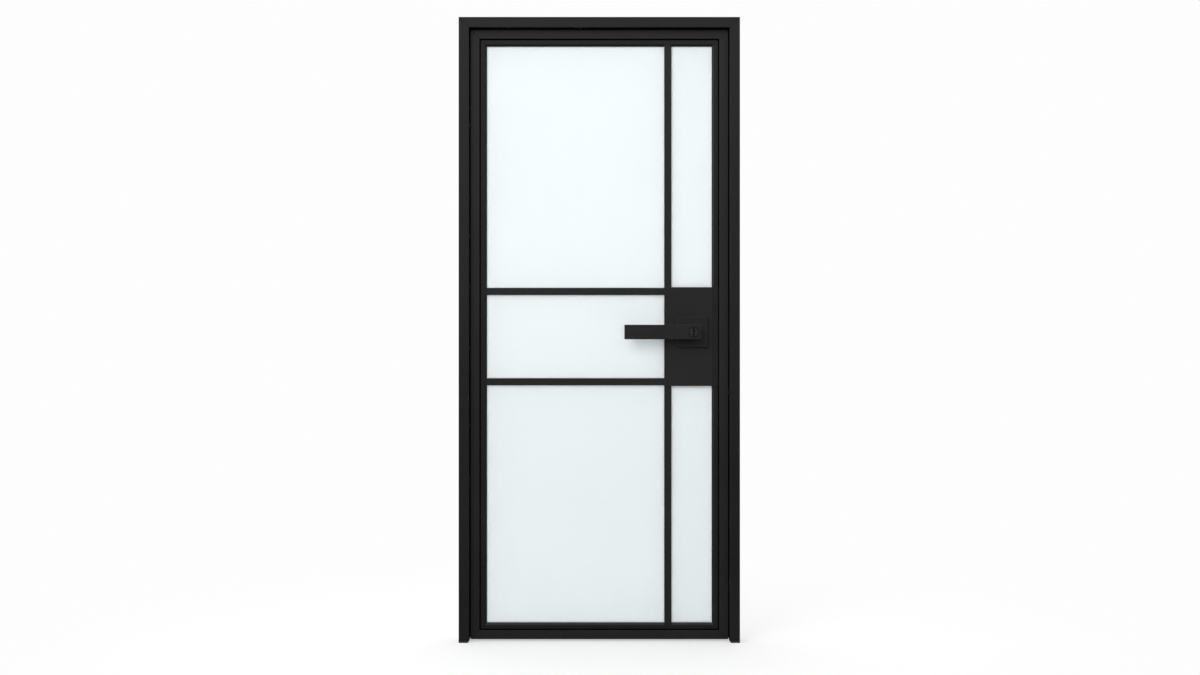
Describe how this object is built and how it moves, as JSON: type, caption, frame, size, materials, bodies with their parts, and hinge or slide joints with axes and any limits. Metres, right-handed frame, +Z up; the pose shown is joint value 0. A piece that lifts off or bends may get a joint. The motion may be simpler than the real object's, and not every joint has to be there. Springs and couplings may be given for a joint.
{
  "type": "glass door",
  "caption": "Black slim-framed glass door hung in its three-sided frame, with frosted panes between narrow bars, a flat lock plate and a square-rose lever set.",
  "frame": {"origin": "on the floor, in the middle of the frame's width, halfway between the foremost and hindmost points of the lever set", "axes": "+Z up; +X from the hinge side to the lock side; +Y from the front, which the picture shows, to the back, towards which the leaf opens"},
  "size_m": [0.934, 0.1688, 2.078],
  "materials": {
    "frame_paint": "fine matt black powder coat",
    "leaf_paint": "fine matt black powder coat",
    "frosted_glass": "satin frosted, white",
    "seal_rubber": "matt black",
    "black_plastic": "matt black",
    "lever_black": "satin black coating on a casting",
    "hinge_black": "satin black powder coat",
    "cylinder_black": "blackened",
    "cleat_aluminium": "mill finish",
    "lock_black": "black electro-coat",
    "lock_steel": "zinc plated"
  },
  "bodies": {
    "frame": {"hinge_jamb": "frame_paint", "lock_jamb": "frame_paint", "frame_head": "frame_paint", "frame_cleats": "cleat_aluminium", "foot_caps": "black_plastic", "rebate_seal": "seal_rubber", "strike_plate": "lock_black", "strike_box": "black_plastic", "strike_screws": "lock_black", "bottom_hinge_frame_wing": "hinge_black", "middle_hinge_frame_wing": "hinge_black", "top_hinge_frame_wing": "hinge_black", "hinge_pins": "hinge_black", "hinge_screws_frame": "hinge_black"},
    "leaf": {"back_gaskets": "seal_rubber", "back_lock_plate": "leaf_paint", "back_rose": "lever_black", "bar_caps": "leaf_paint", "bottom_bead": "leaf_paint", "bottom_hinge_leaf_wing": "hinge_black", "bottom_rail": "leaf_paint", "faceplate": "lock_black", "faceplate_screws": "lock_black", "front_gaskets": "seal_rubber", "front_lock_plate": "leaf_paint", "front_rose": "lever_black", "hinge_screws_leaf": "hinge_black", "hinge_side_bead": "leaf_paint", "hinge_stile": "leaf_paint", "latch_case": "lock_steel", "latch_spring": "lock_steel", "leaf_cleats": "cleat_aluminium", "lock_box": "leaf_paint", "lock_side_bead_lower": "leaf_paint", "lock_side_bead_upper": "leaf_paint", "lock_stile": "leaf_paint", "lower_bar": "leaf_paint", "lower_muntin": "leaf_paint", "middle_hinge_leaf_wing": "hinge_black", "muntin_caps": "leaf_paint", "pane_lower_left": "frosted_glass", "pane_lower_right": "frosted_glass", "pane_middle_left": "frosted_glass", "pane_upper_left": "frosted_glass", "pane_upper_right": "frosted_glass", "rose_bolts": "lock_steel", "setting_blocks": "black_plastic", "top_bead": "leaf_paint", "top_hinge_leaf_wing": "hinge_black", "top_rail": "leaf_paint", "upper_bar": "leaf_paint", "upper_muntin": "leaf_paint"},
    "lever_set": {"front_lever": "lever_black", "back_lever": "lever_black", "spindle": "lock_steel", "latch_hub": "lock_steel", "lock_cylinder": "cylinder_black"},
    "key_core": {"key_plug": "cylinder_black", "turn_button": "lever_black"},
    "latch": {"latch_bolt": "lock_black"}
  },
  "joints": [
    {"name": "leaf_swing", "type": "hinge", "parent": "frame", "child": "leaf", "pos_m": [-0.4435, 0.0212, 1.024], "axis": [0, 0, 1], "range_deg": [0, 170]},
    {"name": "lever_turn", "type": "hinge", "parent": "leaf", "child": "lever_set", "pos_m": [0.312, -0.0056, 1.032], "axis": [0, -1, 0], "range_deg": [0, 45], "stiffness_Nm_per_rad": 3, "springref_deg": -34.38},
    {"name": "latch_slide", "type": "slide", "parent": "leaf", "child": "latch", "axis": [-1, 0, 0], "range_m": [0, 0.0126], "deforming": ["latch_spring"]},
    {"name": "key_turn", "type": "hinge", "parent": "lever_set", "child": "key_core", "pos_m": [0.312, -0.0056, 1.032], "axis": [0, -1, 0], "range_deg": [0, 90]}
  ],
  "couplings": [
    {"joint": "latch_slide", "follows": "lever_turn", "m_per_rad": 0.016}
  ]
}
